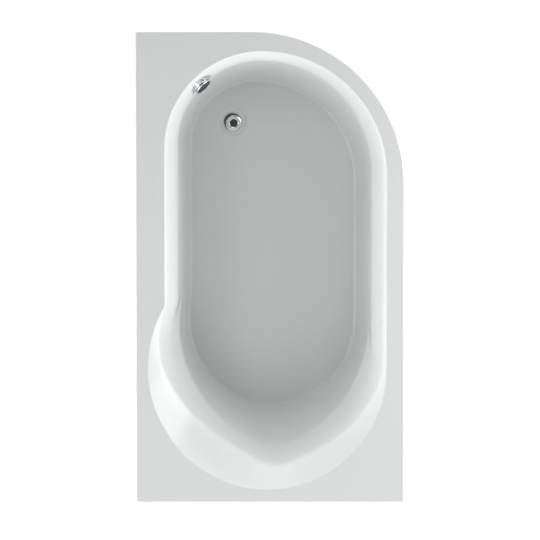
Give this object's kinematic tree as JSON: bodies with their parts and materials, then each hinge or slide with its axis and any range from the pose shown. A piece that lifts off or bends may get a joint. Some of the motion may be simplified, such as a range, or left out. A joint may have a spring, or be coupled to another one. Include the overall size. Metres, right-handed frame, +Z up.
{
  "type": "single ended bathtub",
  "caption": "Single ended bath with one rounded corner, an elbow scoop by the backrest, rotary overflow, lifting plug, trap, timber rim frame and levelling legs.",
  "frame": {"origin": "on the floor, under the middle of the rim's outline", "axes": "+X across the bath from the wall side to the open side, +Y along it to the drain end, +Z up"},
  "size_m": [0.97, 1.7, 0.59],
  "materials": {
    "acrylic": "high gloss sanitary acrylic",
    "chipboard": "raw",
    "timber": "planed",
    "galvanised_steel": "galvanised",
    "zinc_plated": "zinc plated",
    "steel": "stainless",
    "chrome": "polished",
    "brass": "turned",
    "rubber_black": "matte",
    "black_plastic": "satin",
    "grey_plastic": "satin",
    "white_plastic": "satin",
    "foot_plastic": "satin"
  },
  "bodies": {
    "bath": {"tub_shell": "acrylic", "base_board": "chipboard", "wall_batten": "timber", "foot_batten": "timber", "head_batten": "timber", "front_batten": "timber", "corner_batten": "timber", "head_rail": "galvanised_steel", "foot_rail": "galvanised_steel", "centre_bracket": "galvanised_steel", "board_screws": "zinc_plated", "wall_brackets": "galvanised_steel", "wall_bracket_screws": "zinc_plated", "waste_flange": "chrome", "waste_seat_washer": "rubber_black", "waste_gasket": "rubber_black", "waste_body": "black_plastic", "trap_nut": "white_plastic", "trap_body": "white_plastic", "trap_dip_tube": "white_plastic", "outlet_nut": "white_plastic", "outlet_pipe": "white_plastic", "overflow_gasket": "rubber_black", "overflow_body": "black_plastic", "overflow_plate": "chrome", "overflow_screws": "steel", "overflow_pipe": "black_plastic", "lift_cable": "black_plastic", "cable_clips": "grey_plastic"},
    "overflow_dial": {"overflow_knob": "chrome", "knob_spindle": "brass", "cable_drum": "grey_plastic"},
    "waste_plug": {"plug_cap": "chrome", "plug_seal": "rubber_black", "plug_stem": "brass"},
    "lift_rocker": {"rocker_shaft": "steel", "rocker_arm": "grey_plastic"},
    "foot_1": {"foot_pad_1": "foot_plastic", "leg_stud_1": "zinc_plated"},
    "jack_nut_1": {"jack_nut_1": "zinc_plated"},
    "lock_nut_1": {"lock_nut_1": "zinc_plated"},
    "foot_2": {"foot_pad_2": "foot_plastic", "leg_stud_2": "zinc_plated"},
    "jack_nut_2": {"jack_nut_2": "zinc_plated"},
    "lock_nut_2": {"lock_nut_2": "zinc_plated"},
    "foot_3": {"foot_pad_3": "foot_plastic", "leg_stud_3": "zinc_plated"},
    "jack_nut_3": {"jack_nut_3": "zinc_plated"},
    "lock_nut_3": {"lock_nut_3": "zinc_plated"},
    "foot_4": {"foot_pad_4": "foot_plastic", "leg_stud_4": "zinc_plated"},
    "jack_nut_4": {"jack_nut_4": "zinc_plated"},
    "lock_nut_4": {"lock_nut_4": "zinc_plated"},
    "foot_5": {"foot_pad_5": "foot_plastic", "leg_stud_5": "zinc_plated"},
    "jack_nut_5": {"jack_nut_5": "zinc_plated"},
    "lock_nut_5": {"lock_nut_5": "zinc_plated"}
  },
  "joints": [
    {"name": "overflow_dial", "type": "hinge", "parent": "bath", "child": "overflow_dial", "pos_m": [-0.25573, 0.67004, 0.538], "axis": [0.6795, -0.7036, 0.2079], "range_deg": [0, 90]},
    {"name": "waste_plug", "type": "slide", "parent": "bath", "child": "waste_plug", "axis": [0, 0, 1], "range_m": [0, 0.01]},
    {"name": "lift_rocker", "type": "hinge", "parent": "bath", "child": "lift_rocker", "pos_m": [-0.12822, 0.5277, 0.1145], "axis": [0.7407, 0.6718, 0], "range_deg": [0, 26.28]},
    {"name": "foot_1", "type": "slide", "parent": "bath", "child": "foot_1", "axis": [0, 0, 1], "range_m": [-0.03, 0.01]},
    {"name": "jack_nut_1", "type": "hinge", "parent": "bath", "child": "jack_nut_1", "pos_m": [-0.358, -0.33, 0.13328], "axis": [0, 0, 1], "range_deg": [-2059, 6173]},
    {"name": "lock_nut_1", "type": "hinge", "parent": "bath", "child": "lock_nut_1", "pos_m": [-0.358, -0.33, 0.14128], "axis": [0, 0, 1], "range_deg": [-2059, 6173]},
    {"name": "foot_2", "type": "slide", "parent": "bath", "child": "foot_2", "axis": [0, 0, 1], "range_m": [-0.03, 0.01]},
    {"name": "jack_nut_2", "type": "hinge", "parent": "bath", "child": "jack_nut_2", "pos_m": [0.378, -0.33, 0.13328], "axis": [0, 0, 1], "range_deg": [-2059, 6173]},
    {"name": "lock_nut_2", "type": "hinge", "parent": "bath", "child": "lock_nut_2", "pos_m": [0.378, -0.33, 0.14128], "axis": [0, 0, 1], "range_deg": [-2059, 6173]},
    {"name": "foot_3", "type": "slide", "parent": "bath", "child": "foot_3", "axis": [0, 0, 1], "range_m": [-0.03, 0.01]},
    {"name": "jack_nut_3", "type": "hinge", "parent": "bath", "child": "jack_nut_3", "pos_m": [-0.358, 0.395, 0.12795], "axis": [0, 0, 1], "range_deg": [-2059, 6173]},
    {"name": "lock_nut_3", "type": "hinge", "parent": "bath", "child": "lock_nut_3", "pos_m": [-0.358, 0.395, 0.13595], "axis": [0, 0, 1], "range_deg": [-2059, 6173]},
    {"name": "foot_4", "type": "slide", "parent": "bath", "child": "foot_4", "axis": [0, 0, 1], "range_m": [-0.03, 0.01]},
    {"name": "jack_nut_4", "type": "hinge", "parent": "bath", "child": "jack_nut_4", "pos_m": [0.378, 0.395, 0.12795], "axis": [0, 0, 1], "range_deg": [-2059, 6173]},
    {"name": "lock_nut_4", "type": "hinge", "parent": "bath", "child": "lock_nut_4", "pos_m": [0.378, 0.395, 0.13595], "axis": [0, 0, 1], "range_deg": [-2059, 6173]},
    {"name": "foot_5", "type": "slide", "parent": "bath", "child": "foot_5", "axis": [0, 0, 1], "range_m": [-0.009, 0.01]},
    {"name": "jack_nut_5", "type": "hinge", "parent": "bath", "child": "jack_nut_5", "pos_m": [0.008, 0.0325, 0.09911], "axis": [0, 0, 1], "range_deg": [-2059, 1853]},
    {"name": "lock_nut_5", "type": "hinge", "parent": "bath", "child": "lock_nut_5", "pos_m": [0.008, 0.0325, 0.10711], "axis": [0, 0, 1], "range_deg": [-2059, 1853]}
  ],
  "couplings": [
    {"joint": "waste_plug", "follows": "overflow_dial", "m_per_rad": 0.0063662},
    {"joint": "lift_rocker", "follows": "overflow_dial", "ratio": 0.29192},
    {"joint": "jack_nut_1", "follows": "foot_1", "rad_per_m": -3590.4},
    {"joint": "lock_nut_1", "follows": "foot_1", "rad_per_m": -3590.4},
    {"joint": "jack_nut_2", "follows": "foot_2", "rad_per_m": -3590.4},
    {"joint": "lock_nut_2", "follows": "foot_2", "rad_per_m": -3590.4},
    {"joint": "jack_nut_3", "follows": "foot_3", "rad_per_m": -3590.4},
    {"joint": "lock_nut_3", "follows": "foot_3", "rad_per_m": -3590.4},
    {"joint": "jack_nut_4", "follows": "foot_4", "rad_per_m": -3590.4},
    {"joint": "lock_nut_4", "follows": "foot_4", "rad_per_m": -3590.4},
    {"joint": "jack_nut_5", "follows": "foot_5", "rad_per_m": -3590.4},
    {"joint": "lock_nut_5", "follows": "foot_5", "rad_per_m": -3590.4}
  ]
}
